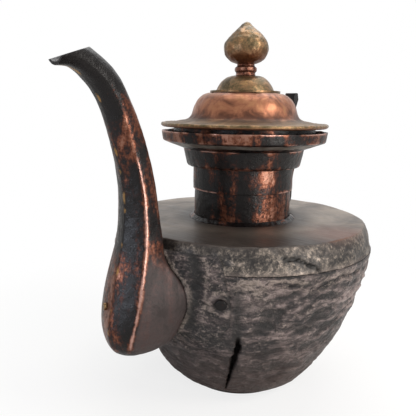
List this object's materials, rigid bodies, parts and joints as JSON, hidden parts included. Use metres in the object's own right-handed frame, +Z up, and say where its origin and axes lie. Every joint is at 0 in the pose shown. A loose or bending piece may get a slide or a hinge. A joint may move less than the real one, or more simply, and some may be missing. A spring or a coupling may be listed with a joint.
{
  "type": "tea ewer",
  "caption": "Round copper ewer with a long curved pouring spout, a strap handle and a hinged domed lid with a bud finial.",
  "frame": {"origin": "centre of the flat base's underside, on the axis of the bowl, neck and lid", "axes": "+Z up along the axis of the bowl, +X towards the spout, handle and hinge towards -X"},
  "size_m": [0.2577, 0.192, 0.2672],
  "materials": {
    "hammered_copper": "dull aged copper with fine light flecks",
    "dark_copper": "dark aged copper, worn warm on the edges",
    "grey_shoulder": "grey tinned copper, brushed",
    "warm_copper": "bare copper, turned and rubbed",
    "brass": "dull brass"
  },
  "bodies": {
    "ewer": {"body_bowl": "hammered_copper", "base_disc": "dark_copper", "shoulder_plate": "grey_shoulder", "neck_base_ring": "dark_copper", "neck_tube": "dark_copper", "neck_sleeve": "dark_copper", "collar_ring": "dark_copper", "mouth_dish": "dark_copper", "spout_front_shell": "dark_copper", "spout_back_shell": "dark_copper", "spout_flange": "dark_copper", "spout_flange_rivets": "brass", "spout_plug": "brass", "handle_strap": "dark_copper", "handle_foot_rivets": "dark_copper", "hinge_bracket": "dark_copper", "hinge_bracket_rivets": "dark_copper", "hinge_pin": "brass"},
    "lid": {"lid_hinge_leaf": "dark_copper", "lid_leaf_rivets": "dark_copper", "thumb_piece": "dark_copper", "lid_shell": "warm_copper", "lid_edge_band": "brass", "lid_seat_ring": "dark_copper", "lid_step_disc": "warm_copper", "lid_cap": "brass", "finial_bead": "warm_copper", "finial_knob": "brass", "finial_washer": "dark_copper", "finial_stud": "brass"}
  },
  "joints": [
    {"name": "lid_hinge", "type": "hinge", "parent": "ewer", "child": "lid", "pos_m": [-0.0667, 0, 0.1926], "axis": [0, -1, 0], "range_deg": [0, 100]}
  ]
}
